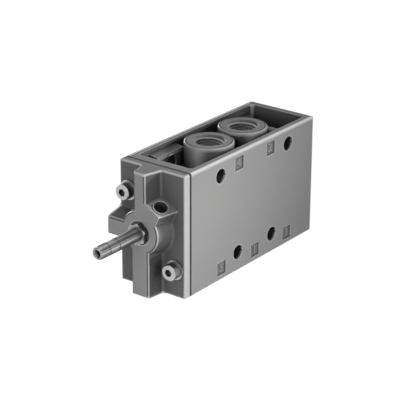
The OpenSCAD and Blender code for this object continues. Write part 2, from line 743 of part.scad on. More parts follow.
module armature() {
    color([0.66, 0.67, 0.68]) difference() {
        union() {
            rod_x(armature_back_x, armature_front_x, armature_r, 0, pilot_z);
            rod_x(collar_x, collar_x + collar_t, collar_r, 0, pilot_z);
        }
        rod_x(armature_front_x - disc_t, armature_front_x + 1, disc_r, 0, pilot_z);
        rod_x(armature_back_x - 1, armature_back_x + armature_hole_len, armature_hole_r, 0, pilot_z);
        for (s = [-1, 1]) translate([armature_back_x - 1, s * (armature_r - 0.35) - (s < 0 ? 1 : 0),
            pilot_z - 0.5]) cube([armature_front_x - armature_back_x + 2, 1, 1]);
    }
}

module seat_disc() {
    color([0.1, 0.1, 0.11]) rod_x(armature_front_x - disc_t + place_gap, armature_front_x,
        disc_r - place_gap, 0, pilot_z);
}

module exhaust_disc() {
    x1 = armature_back_x + armature_hole_len - 0.05;
    color([0.1, 0.1, 0.11]) rod_x(x1 - disc_t, x1, armature_hole_r - place_gap, 0, pilot_z);
}

module armature_spring() {
    x0 = core_x + core_plug_len + 0.02;
    x1 = armature_back_x + armature_hole_len - disc_t - 0.1;
    color([0.7, 0.7, 0.72]) translate([x0, 0, pilot_z])
        helix(armature_hole_r - pin_wire / 2 - 0.1, pin_wire, 7, x1 - x0, 12, 6);
}

module pilot_nozzle() {
    color([0.75, 0.6, 0.3]) difference() {
        union() {
            rod_x(well_x, nozzle_x + nozzle_len, nozzle_r, 0, pilot_z);
            translate([nozzle_x, 0, pilot_z]) rotate([0, 90, 0])
                cylinder(h = nozzle_tip + eps, r1 = 0.9, r2 = nozzle_r);
        }
        rod_x(nozzle_x - 1, nozzle_x + nozzle_len + 1, nozzle_orifice_r, 0, pilot_z);
    }
}

module override_spindle() {
    color([0.72, 0.6, 0.32]) override_frame() difference() {
        union() {
            rod_z(-override_sink - override_len, -override_sink, override_r);
            rod_z(-nose_end, -override_sink - override_len + eps, nose_r);
        }
        translate([-override_r, -0.5, -override_sink - 1.2]) cube([override_d, 1, 2]);
        difference() {
            rod_z(-override_sink - 2.9, -override_sink - 1.3, override_r + 1);
            rod_z(-override_sink - 3, -override_sink - 1.2, override_r - 0.85);
        }
        difference() {
            rod_z(-spindle_seal_z1, -spindle_seal_z0, override_r + 1);
            rod_z(-spindle_seal_z1 - 1, -spindle_seal_z0 + 1, override_r - 0.9);
        }
        translate([-2 - nose_r / 2, -2, -nose_end - 1]) cube([2, 4, 2.2]);
    }
}

module override_seal() {
    color([0.1, 0.1, 0.11]) override_frame() difference() {
        rod_z(-spindle_seal_z1 + place_gap, -spindle_seal_z0 - place_gap, override_r + slide_gap / 2);
        rod_z(-spindle_seal_z1 - 1, -spindle_seal_z0 + 1, override_r - 0.85);
    }
}

module override_pin() {
    color([0.7, 0.71, 0.72]) override_frame() translate([-pin_offset, pin_to, -pin_level])
        rotate([90, 0, 0]) cylinder(h = pin_to - pin_from, r = pin_r);
}

body_casting();
pilot_head();
head_gasket();
head_screws();
screw_washers();
front_bush();
rear_bush();
cage(0);  // cage_port_5
cage(1);  // cage_port_4
cage(2);  // cage_port_1
cage(3);  // cage_port_2
cage(4);  // cage_port_3
seal_ring(0);  // seal_ring_1
seal_ring(1);  // seal_ring_2
seal_ring(2);  // seal_ring_3
seal_ring(3);  // seal_ring_4
seal_ring(4);  // seal_ring_5
seal_ring(5);  // seal_ring_6
spool();
pilot_piston();
piston_seal();
return_spring();
armature_tube();
tube_seal();
fixed_core();
armature();
seat_disc();
exhaust_disc();
armature_spring();
pilot_nozzle();
override_spindle();
override_seal();
override_pin();
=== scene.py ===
"""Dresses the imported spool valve: finishes, port threads, numbers, studio and camera."""

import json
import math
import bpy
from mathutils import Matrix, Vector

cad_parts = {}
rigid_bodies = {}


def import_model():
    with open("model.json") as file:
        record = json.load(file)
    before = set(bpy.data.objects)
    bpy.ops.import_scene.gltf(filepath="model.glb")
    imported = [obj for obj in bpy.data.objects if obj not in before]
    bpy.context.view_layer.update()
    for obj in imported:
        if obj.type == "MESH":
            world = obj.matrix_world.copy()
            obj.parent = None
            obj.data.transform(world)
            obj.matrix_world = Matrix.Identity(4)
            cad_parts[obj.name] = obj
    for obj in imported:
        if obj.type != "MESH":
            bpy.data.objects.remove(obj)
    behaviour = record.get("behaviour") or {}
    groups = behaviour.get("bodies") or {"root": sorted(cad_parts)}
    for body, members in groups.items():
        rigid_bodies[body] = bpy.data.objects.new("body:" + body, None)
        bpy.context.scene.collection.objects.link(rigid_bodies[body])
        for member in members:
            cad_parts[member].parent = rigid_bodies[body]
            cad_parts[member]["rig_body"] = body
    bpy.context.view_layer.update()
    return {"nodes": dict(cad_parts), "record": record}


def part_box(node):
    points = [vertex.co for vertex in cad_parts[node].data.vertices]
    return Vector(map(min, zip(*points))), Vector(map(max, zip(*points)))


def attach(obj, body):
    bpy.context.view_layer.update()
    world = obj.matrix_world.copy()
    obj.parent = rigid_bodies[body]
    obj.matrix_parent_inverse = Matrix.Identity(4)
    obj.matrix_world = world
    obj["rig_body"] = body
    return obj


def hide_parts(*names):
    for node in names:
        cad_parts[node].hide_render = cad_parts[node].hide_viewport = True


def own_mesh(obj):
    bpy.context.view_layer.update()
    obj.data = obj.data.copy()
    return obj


bl_info = {
    "name": "Spool valve dressing",
    "version": (1, 0, 0),
    "blender": (4, 5, 0),
    "location": "View3D > Sidebar > Valve",
    "description": "Adds finishes, threads, numbers and a studio to the packed spool valve",
    "category": "Object",
}

import bmesh
import bpy
from bpy.props import FloatProperty, FloatVectorProperty, IntProperty, PointerProperty
from mathutils import Matrix, Vector

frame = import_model()
nodes = frame["nodes"]
mounts = {m["name"]: m for m in frame["record"]["mounts"]}
MM = 0.001


# Shader building


class Flow:
    """One output of a shader node. Arithmetic on it adds Math nodes."""

    def __init__(self, graph, socket):
        self.graph = graph
        self.socket = socket

    def _math(self, operation, *values):
        return self.graph.node("ShaderNodeMath", {"operation": operation}, *values)

    def __add__(self, other):
        return self._math("ADD", self, other)

    def __radd__(self, other):
        return self._math("ADD", other, self)

    def __sub__(self, other):
        return self._math("SUBTRACT", self, other)

    def __rsub__(self, other):
        return self._math("SUBTRACT", other, self)

    def __mul__(self, other):
        return self._math("MULTIPLY", self, other)

    def __rmul__(self, other):
        return self._math("MULTIPLY", other, self)

    def __truediv__(self, other):
        return self._math("DIVIDE", self, other)

    def __gt__(self, other):
        return self._math("GREATER_THAN", self, other)

    def __lt__(self, other):
        return self._math("LESS_THAN", self, other)

    def within(self, low, high):
        """1 between the two limits, 0 outside them."""
        return (self > low) * (self < high)

    def power(self, other):
        return self._math("POWER", self, other)

    def absolute(self):
        return self._math("ABSOLUTE", self)

    def clamped(self):
        result = self._math("ADD", self, 0.0)
        result.socket.node.use_clamp = True
        return result


class Graph:
    """A node tree whose nodes are placed by one method."""

    def __init__(self, tree):
        self.tree = tree

    def node(self, kind, settings=None, *values, out=0, **named):
        """Adds a node, sets it up, fills its sockets and returns one output."""
        made = self.tree.nodes.new(kind)
        for key, value in (settings or {}).items():
            if key == "stops":
                ramp = made.color_ramp
                while len(ramp.elements) < len(value):
                    ramp.elements.new(0.5)
                for element, (place, tone) in zip(ramp.elements, value):
                    element.position = place
                    element.color = (tone, tone, tone, 1)
            else:
                setattr(made, key, value)
        pairs = list(enumerate(values))
        pairs += [(key.replace("_", " "), value) for key, value in named.items()]
        for key, value in pairs:
            self.feed(made.inputs[key], value)
        return Flow(self, made.outputs[out])

    def feed(self, socket, value):
        """Links a flow to a socket or sets the socket to a value."""
        if isinstance(value, Flow):
            self.tree.links.new(value.socket, socket)
        elif value is not None:
            socket.default_value = value

    def seen(self):
        """1 for what the camera sees, also in gloss and through glass, 0 for light on the object."""
        camera, gloss, glass = [self.node("ShaderNodeLightPath", out="Is %s Ray" % kind)
                                for kind in ("Camera", "Glossy", "Transmission")]
        return (camera + gloss + glass).clamped()


class Finish(Graph):
    """A material around Blender's main shader."""

    def __init__(self, name):
        self.material = bpy.data.materials.new(name)
        self.material.use_nodes = True
        super().__init__(self.material.node_tree)
        self.shader = self.tree.nodes["Principled BSDF"]
        self.shader.label = name

    def surface(self, **values):
        """Sets or links the sockets of the main shader."""
        for key, value in values.items():
            self.feed(self.shader.inputs[key.replace("_", " ")], value)

    def place(self, scale):
        """Object coordinates in units of 1 / scale metres."""
        spot = self.node("ShaderNodeTexCoord", out="Object")
        return self.node("ShaderNodeMapping", None, spot, Scale=(scale, scale, scale))

    def axes(self):
        """The three object coordinates in millimetres."""
        spot = self.place(1000.0)
        return [self.node("ShaderNodeSeparateXYZ", None, spot, out=i) for i in range(3)]

    def facing(self):
        """The three parts of the surface's smooth normal."""
        normal = self.node("ShaderNodeNewGeometry", out="Normal")
        return [self.node("ShaderNodeSeparateXYZ", None, normal, out=i) for i in range(3)]

    def noise(self, size, detail, rough):
        """Noise whose lumps are about size millimetres across."""
        return self.node("ShaderNodeTexNoise", None, self.place(1.0 / (size * MM)),
                         Scale=1.0, Detail=detail, Roughness=rough, out="Fac")

    def grooves(self, along, pitch, detail):
        """Fine lines across one coordinate, about pitch millimetres apart."""
        return self.node("ShaderNodeTexNoise", {"noise_dimensions": "1D"}, W=along / pitch, Scale=1.0,
                         Detail=detail, Roughness=0.6, out="Fac")

    def tint(self, amount, low, high):
        """Blends two colours by amount."""
        return self.node("ShaderNodeMix", {"data_type": "RGBA"}, amount, None, None, None, None, None,
                         low, high, out=2)

    def bump(self, height, depth, normal=None):
        """Height field whose full swing is depth millimetres."""
        return self.node("ShaderNodeBump", None, Strength=1.0, Distance=depth * MM,
                         Height=height, Normal=normal)

    def edge(self, radius, samples=6):
        """Normal with edges rounded by radius millimetres."""
        return self.node("ShaderNodeBevel", {"samples": samples}, Radius=radius * MM)

    def occlusion(self, reach, inside=False, samples=6):
        """Openness of the surface within reach millimetres, or its thickness there if inside."""
        settings = {"samples": samples, "inside": inside, "only_local": True}
        return self.node("ShaderNodeAmbientOcclusion", settings, Distance=reach * MM, out="AO")


def span(a, b):
    """Distance in the plane of two coordinates."""
    return (a * a + b * b).power(0.5)


def grey(level, warm=0.0):
    """A grey of that linear level, a little warm."""
    return (level * (1 + warm), level, level * (1 - warm), 1.0)


# Settings that a user would change


class CoatSettings(bpy.types.PropertyGroup):
    """Silver coat of the castings"""

    body_tone: FloatProperty(name="Body tone", description="Linear grey level of the body's coat",
                             default=0.36, min=0.05, max=0.9)
    head_tone: FloatProperty(name="Head tone", description="Linear grey level of the pilot head's coat",
                             default=0.30, min=0.05, max=0.9)
    grain: FloatProperty(name="Grain", description="Size of the blasted grain", default=0.16 * MM,
                         min=0.02 * MM, max=1 * MM, unit="LENGTH", precision=5)
    edge: FloatProperty(name="Edge radius", description="Radius of the small unmodelled edges",
                        default=0.35 * MM, min=0, max=1 * MM, unit="LENGTH", precision=5)
    # Recess size and strength set the painted shade in recesses
    recess: FloatProperty(name="Recess size", description="Reach over which recesses turn darker",
                          default=14 * MM, min=1 * MM, max=50 * MM, unit="LENGTH", precision=5)
    recess_power: FloatProperty(name="Recess strength", description="How fast recesses turn darker",
                                default=1.1, min=0, max=4)
    # Grey of the painted highlights along the edges
    rubbed_tone: FloatProperty(name="Painted highlight tone", description="Linear grey level of edges rubbed bright",
                               default=0.75, min=0.1, max=1)
    # The front and flank gains paint light on the head's front faces and flanks
    front_gain: FloatProperty(name="Front gain", description="Tone of the head's front faces over its coat",
                              default=2.1, min=0.5, max=3)
    flank_gain: FloatProperty(name="Flank gain", description="Tone of the head's flanks over its coat",
                              default=1.9, min=0.5, max=3)
    metal: FloatProperty(name="Metal", description="Share of metallic reflection in the coat",
                         default=0.06, min=0, max=1)


class ThreadSettings(bpy.types.PropertyGroup):
    """Pipe threads of the ports and the thread of the tube"""

    pitch: FloatProperty(name="Port pitch", description="Pitch of the port threads", default=1.337 * MM,
                         min=0.5 * MM, max=3 * MM, unit="LENGTH", precision=5)
    minor: FloatProperty(name="Port minor radius", description="Radius at the crests of the port threads",
                         default=5.72 * MM, min=3 * MM, max=6.5 * MM, unit="LENGTH", precision=5)
    turns: IntProperty(name="Port turns", description="Number of turns in each port",
                       default=8, min=1, max=12)
    tube_pitch: FloatProperty(name="Tube pitch", description="Pitch of the thread at the tube's end",
                              default=0.75 * MM, min=0.3 * MM, max=2 * MM, unit="LENGTH", precision=5)


class NumberSettings(bpy.types.PropertyGroup):
    """Port numbers in the recessed pads"""

    height: FloatProperty(name="Digit height", description="Height of the port numbers", default=3.6 * MM,
                          min=1 * MM, max=5 * MM, unit="LENGTH", precision=5)
    relief: FloatProperty(name="Relief", description="How far the numbers stand out of their pad",
                          default=0.22 * MM, min=0.05 * MM, max=0.4 * MM, unit="LENGTH", precision=5)


class StudioSettings(bpy.types.PropertyGroup):
    """Camera, lamps and floor"""

    target: FloatVectorProperty(name="Target", description="Point the camera looks at", size=3,
                                default=(-17.413 * MM, 0.0, 29.781 * MM), unit="LENGTH", precision=5)
    azimuth: FloatProperty(name="Azimuth", description="Camera azimuth", default=math.radians(-52.674),
                           subtype="ANGLE")
    elevation: FloatProperty(name="Elevation", description="Camera elevation", default=math.radians(22.351),
                             subtype="ANGLE")
    roll: FloatProperty(name="Roll", description="Turn of the camera about its view", default=0.0023,
                        subtype="ANGLE")
    distance: FloatProperty(name="Distance", description="Camera distance", default=686.62 * MM,
                            unit="LENGTH")
    lens: FloatProperty(name="Lens", description="Focal length on a 36 mm sensor, in millimetres",
                        default=145.75, min=20, max=400)
    sky: FloatProperty(name="Sky", description="Strength of the even light from the world", default=0.02,
                       min=0, max=2)
    gain: FloatProperty(name="Lamp gain", description="Factor on the power of every lamp", default=1.08,
                        min=0, max=5)


# Power in watts, direction from the aim, size and distance in metres, aim if not the camera's
# target, and cone in degrees if it is a spot
LAMPS = {
    "front": (1.47, (-0.90, -0.20, 0.30), 0.50, 0.9, None, 0),
    "left": (0.07, (-0.85, 0.25, 0.45), 0.50, 0.9, None, 0),
    "back": (3.8, (0.45, 0.88, 0.04), 0.50, 0.9, None, 0),
    "right": (0.38, (-0.05, -0.40, 0.05), 0.20, 0.40, None, 0),
    "seam": (13.4, (0.65, -0.70, 0.35), 0.10, 0.6, (-0.050, -0.017, 0.035), 15),
}
FLOOR_RADIUS = 4.0
FLOOR_TONE = 0.45
FLOOR_GLOW = 0.97


# Places on the part in millimetres. A pair is a lower and an upper limit, of a place or a radius.
PILOT_HEIGHT = 28.5
SKIN_Y, SKIN_TOP, SKIN_BOTTOM = 16.05, 53.6, 0.9
JOINT_X = (-46.55, -45.3)

HEAD_FACE_X = -57.9
RIB_SIDE_X = (-57.6, -50.4)
RIB_EDGE_X = -56.7
FAR_RIB_Y, FAR_RIB_TOP = 6.0, 50.0
HUB_RADIUS = 11.5
BLOCK_Z, BLOCK_Y = (32.0, 46.0), -4.0
SLOPE_X = -48.0
FLANK_Y = -16.9

PAD_Y = (-16.75, -16.4)
PAD_FLOOR_Y = -16.6
PAD_CENTRES = {"4": (-12.7, 49.1), "2": (9.9, 49.1), "5": (-24.7, 5.4), "1": (-0.7, 5.4), "3": (23.3, 5.4)}
TRAY_X, TRAY_Y, TRAY_Z = (-43.6, 41.8), 15.6, (40.2, 54.2)
CORNER_X = 36.5
FAR_RIM_Y, FAR_RIM_Z = 14.6, 53.9
FAR_LINE_Y = (15.2, 15.95)
NEAR_EDGE_Y, NEAR_EDGE_Z = (-17.1, -16.0), 53.0
HOLE_RADIUS, HOLE_Y = 3.3, -16.95

BOSS_RADIUS = 10.9
BOSS_WALL, BOSS_WALL_Z = (10.3, BOSS_RADIUS), (40.2, 54.3)
BOSS_LIP, BOSS_LIP_Z = (10.2, BOSS_RADIUS), 53.5
BOSS_RING, BOSS_RING_Z = (9.6, 10.2), 54.4
BOSS_CONE, BOSS_CONE_Z = 7.05, 54.0

NUT_X, NUT_RADIUS = -60.4, 3.1
BRIGHT_THREAD_Z = (2.0, 53.0)
THREAD_DEPTH = 0.95


# How deep a thread ridge is sunk in its wall, how far the one on the tube stands out, and the
# font size over the height of a digit
SUNK = 0.03 * MM
TUBE_CREST = 0.18 * MM
FONT_SIZE = 1.37

# Angles in degrees past which an edge is drawn sharp, and the distance at which points merge
CAD_CREASE, THREAD_CREASE, DIGIT_CREASE = 28.0, 20.0, 35.0
MERGE = 1e-6


# Painted light and shade on the coat's places: painted shade on the rib sides, number pads, tray walls,
# mounting holes, rib edges and edge lines, painted light on the block slope and the tray corner. Each
# holds the tone over the coat's own, the share of it laid on and the warmth
SHADES = {
    "rib sides": (0.2, 1.0, 0.004),
    "block slope": (1.4, 1.0, 0.004),
    "number pads": (0.42, 0.75, 0.004),
    "tray walls": (0.5, 0.7, 0.003),
    "tray corner": (2.4, 0.8, 0.003),
    "mounting holes": (0.08, 0.9, 0.002),
    "rib edges": (0.4, 0.9, 0.002),
    "edge lines": (0.12, 1.0, 0.002),
}
NUMBER_TONE = 0.62

# Tones of a boss wall away from its painted sheen and in it, the level direction across which the
# painted sheen is placed, and its place on each boss from -1 to 1. The sheen is a painted highlight.
BOSS_TONES = (1.1, 2.8)
SHEEN_AXIS = (0.607, -0.795)
BOSS_SHEEN = {"port_4": -0.46, "port_2": 0.3}

# Painted reflections and shade around the tube: place around it, as a share of a turn, and tone of
# each streak
TUBE_PAINTED_REFLECTIONS = [(0.0, 0.16), (0.10, 0.04), (0.17, 0.07), (0.245, 0.26), (0.286, 0.62), (0.306, 0.10),
                (0.33, 0.34), (0.36, 0.07), (0.393, 0.22), (0.43, 0.56), (0.47, 0.26), (0.54, 0.09),
                (0.62, 0.22), (0.70, 0.42), (0.78, 0.12), (0.88, 0.38)]


# Finishes


class Coat(Finish):
    """Matt silver coat on a blasted casting, with painted shade in its recesses.

    Painted highlights along the edges gather in rubbed, and dark lines in lines: painted
    shade along edges, and the dark joint between head and body. off_bosses is 1 away from the port bosses.
    """

    def __init__(self, name, tone, settings):
        super().__init__(name)
        self.tone = tone
        self.settings = settings
        self.x, self.y, self.z = self.axes()
        self.nx, self.ny, self.nz = self.facing()
        self.cloud = self.noise(9.0, 3.0, 0.6)
        self.speck = self.noise(settings.grain / MM * 2.2, 2.0, 0.6)
        level = 0.94 + self.cloud * 0.08 + self.speck * 0.05
        self.colour = self.tint((level * 0.5).clamped(), grey(tone * 0.55, 0.004), grey(tone * 1.45, 0.004))
        corners = self.nx.absolute() + self.ny.absolute() + self.nz.absolute()
        self.rounded = ((corners - 1.05) * 5.0).clamped()
        self.outer = ((self.y.absolute() > SKIN_Y) + (self.z > SKIN_TOP) + (self.z < SKIN_BOTTOM)).clamped()
        # Thin convex edges, which get painted highlights and more metal
        self.convex = ((1.0 - self.occlusion(0.6, True, 4)) * 1.6).clamped()
        # Painted highlights along the rounded outer edges; dark lines of painted shade gather in lines
        self.rubbed = self.rounded * self.outer * 0.8
        self.lines = 0.0
        self.off_bosses = 1.0

    def lay(self, mask, tone, warmth=0.004):
        """Lays a tone over the coat where the mask is."""
        self.colour = self.tint(mask, self.colour, grey(self.tone * tone, warmth))

    def shade(self, place, mask):
        """Lays the tone of a named place where the mask is."""
        tone, share, warmth = SHADES[place]
        self.lay(mask * share, tone, warmth)

    def head_faces(self):
        """Painted light on the front faces, the sloping face and the flanks, and painted shade on the sides
        of the ribs and, less of it, the centre boss.
        """
        x, y, z, nx, ny, nz = self.x, self.y, self.z, self.nx, self.ny, self.nz
        self.lay((x < HEAD_FACE_X) * (nx < -0.9), self.settings.front_gain)
        steep = ((nz < 0.5) + (y > FAR_RIB_Y) * (z < FAR_RIB_TOP)).clamped()
        sides = x.within(*RIB_SIDE_X) * (nx > -0.6) * steep
        hub = span(y, z - PILOT_HEIGHT) < HUB_RADIUS
        block = z.within(*BLOCK_Z) * (y < BLOCK_Y) * (nz < -0.3)
        self.shade("rib sides", sides * (0.6 - hub * 0.5 - block * 0.36 - nz * 0.4).clamped())
        self.shade("block slope", (x < SLOPE_X) * nz.within(0.78, 0.9) * (ny < -0.4))
        self.lay((y < FLANK_Y) * (ny < -0.9), self.settings.flank_gain)

    def head_edges(self):
        """Painted highlight and painted shade lines around the front of the ribs."""
        edge = (self.x < RIB_EDGE_X) * (self.outer < 0.5)
        self.rubbed = self.rubbed + edge * self.nx.within(-0.72, -0.26) * 0.6
        self.shade("rib edges", edge * self.nx.within(-0.97, -0.74))

    def body_faces(self):
        """Painted shade on the number pads, the tray walls and in the mounting holes, painted light in one
        tray corner, and the port bosses.
        """
        x, y, z, nx, ny, nz = self.x, self.y, self.z, self.nx, self.ny, self.nz
        self.shade("number pads", y.within(*PAD_Y) * (ny < -0.99))
        tray = z.within(*TRAY_Z) * (nz < 0.5) * (y.absolute() < TRAY_Y) * x.within(*TRAY_X)
        self.shade("tray walls", tray)
        self.shade("tray corner", tray * (nx < -0.4) * (ny < -0.4) * (x > CORNER_X))
        for port, sheen in BOSS_SHEEN.items():
            self.boss(mounts[port], sheen)
        for row in ("upper_mounting_holes", "lower_mounting_holes"):
            middle = [v / MM for v in mounts[row]["pos_m"]]
            for side in (-0.5, 0.5):
                place = middle[0] + side * mounts[row]["dims"]["spacing_x_mm"]
                bore = (span(x - place, z - middle[2]) < HOLE_RADIUS) * (y > HOLE_Y)
                self.shade("mounting holes", bore)

    def boss(self, port, sheen):
        """Wall of a port boss with its painted sheen, a painted highlight on its lip, and painted dark lines
        of shade in the ring inside the lip and in the mouth's cone.
        """
        gap = span(self.x - port["pos_m"][0] / MM, self.y)
        wall = gap.within(*BOSS_WALL) * self.z.within(*BOSS_WALL_Z)
        # Painted sheen: a lighter band across the wall
        aside = self.nx * SHEEN_AXIS[0] + self.ny * SHEEN_AXIS[1]
        band = (1.0 - (aside - sheen).absolute() * 2.6).clamped()
        low, high = (grey(self.tone * tone, 0.003) for tone in BOSS_TONES)
        self.colour = self.tint(wall * 0.9, self.colour, self.tint(band, low, high))
        # Painted highlight on the lip
        lip = gap.within(*BOSS_LIP) * (self.z > BOSS_LIP_Z)
        boss = gap < BOSS_RADIUS
        self.off_bosses = self.off_bosses - boss
        self.rubbed = self.rubbed * (1.0 - boss) + lip * 0.42
        # Painted dark lines of shade in the ring inside the lip and in the mouth's cone
        ring = gap.within(*BOSS_RING) * (self.z > BOSS_RING_Z)
        cone = (gap < BOSS_CONE) * (self.z > BOSS_CONE_Z)
        self.lines = self.lines + ring + cone * 0.3

    def body_edges(self):
        """Painted highlight line between two painted dark lines of shade on the far rim, and a painted
        highlight on the near edge.
        """
        far = (self.y > FAR_RIM_Y) * (self.z > FAR_RIM_Z)
        low, high = FAR_LINE_Y
        self.rubbed = self.rubbed * (1.0 - far) + far * self.y.within(low, high)
        self.lines = self.lines + far * ((self.y > high) + (self.y < low)) * 0.85
        near = (self.z > NEAR_EDGE_Z) * self.y.within(*NEAR_EDGE_Y)
        self.rubbed = self.rubbed + near * 0.35

    def recesses(self):
        """Paints shade on what lies deep and what lies in a crevice."""
        deep = self.occlusion(self.settings.recess / MM).power(self.settings.recess_power)
        self.colour = self.tint(deep, grey(self.tone * 0.14, 0.002), self.colour)
        crevice = self.occlusion(1.0).power(1.6)
        self.colour = self.tint(crevice, grey(self.tone * 0.08, 0.002), self.colour)

    def finished(self):
        """Lays on the painted highlights and the dark edge lines, with painted shade on rounded outer edges
        facing away, and links everything to the shader.
        """
        # Painted shade on the rounded outer edges that face left, down or back
        away = ((self.ny > 0.2) + (self.nz < -0.35) + (self.nx > 0.45)).clamped() * self.rounded * self.outer
        lines = (self.lines + away * self.off_bosses * 0.95).clamped()
        rubbed = (self.rubbed * (1.0 - lines)).clamped()
        self.colour = self.tint(rubbed, self.colour, grey(self.settings.rubbed_tone, 0.003))
        self.shade("edge lines", lines)
        grain = self.noise(self.settings.grain / MM, 3.0, 0.7)
        soft = self.edge(self.settings.edge / MM)
        bare = self.convex * (1.0 - lines) * (1.0 - self.outer)
        self.surface(Base_Color=self.colour, Roughness=0.38 + self.speck * 0.12 - rubbed * 0.04,
                     Metallic=self.settings.metal + rubbed * 0.35 + bare * 0.8,
                     Normal=self.bump(grain, 0.012, self.bump(self.cloud, 0.03, soft)),
                     Specular_IOR_Level=0.12)
        return self.material


def cast_coat(name, tone, settings, head=False, body=False):
    """Coat of a casting, or of the raised numbers if it is neither the head nor the body."""
    coat = Coat(name, tone, settings)
    if head:
        coat.head_faces()
    if body:
        coat.body_faces()
    coat.recesses()
    if body:
        coat.body_edges()
    if head or body:
        # Painted highlights on the thin convex edges, and the dark joint line between head and body
        coat.rubbed = coat.rubbed + coat.convex * 0.8
        coat.lines = coat.lines + coat.x.within(*JOINT_X) * 0.85
    if head:
        coat.head_edges()
    return coat.finished()


def varied(colour, share):
    """The colour made darker or lighter by that share."""
    return tuple(c * (1 + share) for c in colour) + (1.0,)


def turned_metal(name, colour, roughness):
    """Bare metal with fine turning lines across its length."""
    f = Finish(name)
    lines = f.grooves(f.axes()[0], 0.06, 3.0)
    smear = f.noise(1.4, 3.0, 0.6)
    dark, pale = varied(colour, -0.1), varied(colour, 0.1)
    f.surface(Base_Color=f.tint(lines * 0.5 + smear * 0.5, dark, pale), Metallic=1.0,
              Roughness=roughness - 0.06 + lines * 0.12 + smear * 0.06,
              Normal=f.bump(lines, 0.0015, f.edge(0.12, 4)))
    return f.material


def drawn_steel(name):
    """Steel tube with long pale and dark streaks of painted reflection and shade around it, and its hexagon.
    """
    f = Finish(name)
    x, y, z = f.axes()
    turn = f.node("ShaderNodeMath", {"operation": "ARCTAN2"}, y, z - PILOT_HEIGHT)
    lines = f.grooves(x, 0.08, 2.0)
    waver = (f.noise(2.0, 2.0, 0.5) - 0.5) * 0.012
    colour = f.node("ShaderNodeValToRGB", {"stops": TUBE_PAINTED_REFLECTIONS}, turn / (2 * math.pi) + 0.5 + waver,
                    out="Color")
    colour = f.tint(lines * 0.25, colour, grey(0.30))
    nx = f.facing()[0]
    nut = (x > NUT_X) * (span(y, z - PILOT_HEIGHT) > NUT_RADIUS)
    colour = f.tint((nx < -0.7) * 0.7, colour, grey(0.34))
    colour = f.tint(nut, colour, grey(0.40))
    # Painted shade on the hexagon's flanks
    colour = f.tint(nut * (nx > -0.45) * 0.85, colour, grey(0.05))
    # Painted shade in the hollows
    colour = f.tint(f.occlusion(2.5).power(1.4), grey(0.02), colour)
    f.surface(Base_Color=colour, Metallic=1.0, Roughness=0.26 + lines * 0.14,
              Normal=f.bump(lines, 0.0015, f.edge(0.12, 4)))
    return f.material


def tapped_metal(name):
    """Thread cut in the casting, with painted shade on its flanks and near the port mouths."""
    f = Finish(name)
    low, high = BRIGHT_THREAD_Z
    z = f.axes()[2]
    mouth = ((z > high) + (z < low)).clamped()
    smear = f.noise(1.4, 3.0, 0.6)
    # Bright metal, with painted shade near the port mouths
    bright = f.tint(mouth * 0.7, f.tint(smear, grey(0.58), grey(0.78)), grey(0.05))
    # Painted shade on the thread flanks
    flank = f.facing()[2].absolute() > 0.25
    f.surface(Base_Color=f.tint(flank * 0.95, grey(0.04), bright), Metallic=1.0,
              Roughness=0.28 + smear * 0.1)
    return f.material


def zinc_plate(name):
    """Bright zinc plating with a soft cloud and a few scuffs, with painted shade on the sides of a head and
    in its hollows.
    """
    f = Finish(name)
    cloud = f.noise(1.6, 3.0, 0.6)
    scuff = f.node("ShaderNodeTexNoise", None, f.place(1 / (0.5 * MM)), Scale=1.0, Detail=4.0,
                   Roughness=0.75, Distortion=1.6, out="Fac")
    colour = f.tint(cloud, (0.36, 0.365, 0.365, 1), (0.50, 0.505, 0.50, 1))
    # Painted shade on the sides of a head, and in its hollows below
    colour = f.tint((f.facing()[0] > -0.3) * 0.75, colour, grey(0.10))
    colour = f.tint(f.occlusion(2.5).power(1.1), grey(0.02), colour)
    f.surface(Base_Color=colour, Metallic=1.0, Roughness=0.22 + scuff * 0.16,
              Normal=f.bump(scuff, 0.003, f.edge(0.15, 4)))
    return f.material


def nitrile(name, gloss=0.5):
    """Black rubber with a faint bloom and moulding grain."""
    f = Finish(name)
    bloom = f.noise(2.4, 4.0, 0.65)
    grain = f.noise(0.12, 2.0, 0.5)
    f.surface(Base_Color=f.tint(bloom, grey(0.008), grey(0.028)),
              Roughness=gloss + bloom * 0.18, Normal=f.bump(grain, 0.01))
    return f.material


def acetal(name, colour):
    """Moulded plastic with flow marks and a satin skin."""
    f = Finish(name)
    flow = f.node("ShaderNodeTexNoise", None, f.place(1 / (3.0 * MM)), Scale=1.0, Detail=3.0,
                  Roughness=0.6, Distortion=2.0, out="Fac")
    grain = f.noise(0.18, 2.0, 0.5)
    dark, plain = varied(colour, -0.12), varied(colour, 0.0)
    f.surface(Base_Color=f.tint(flow, dark, plain), Roughness=0.38 + grain * 0.12,
              Normal=f.bump(grain, 0.006, f.edge(0.12, 4)))
    return f.material


# Mesh building


def shown(name, bm, body, finish, crease):
    """Makes an object of a bmesh in the row frame and lets it ride on its body."""
    for edge in bm.edges:
        sharp = len(edge.link_faces) != 2 or edge.calc_face_angle(0.0) > math.radians(crease)
        edge.smooth = not sharp
    for face in bm.faces:
        face.smooth = True
    mesh = bpy.data.meshes.new(name)
    bm.to_mesh(mesh)
    bm.free()
    mesh.materials.append(finish)
    made = bpy.data.objects.new(name, mesh)
    bpy.context.scene.collection.objects.link(made)
    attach(made, body)
    return made


def dressed(node, name, finish):
    """Merged copy of a CAD node with clean shading, shown in the node's place."""
    source = nodes[node]
    bm = bmesh.new()
    bm.from_mesh(source.data)
    bmesh.ops.remove_doubles(bm, verts=bm.verts, dist=MERGE)
    made = shown(name, bm, source["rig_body"], finish, CAD_CREASE)
    steady = made.modifiers.new("steady normals", "WEIGHTED_NORMAL")
    steady.keep_sharp = True
    steady.weight = 80
    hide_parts(node)
    return made


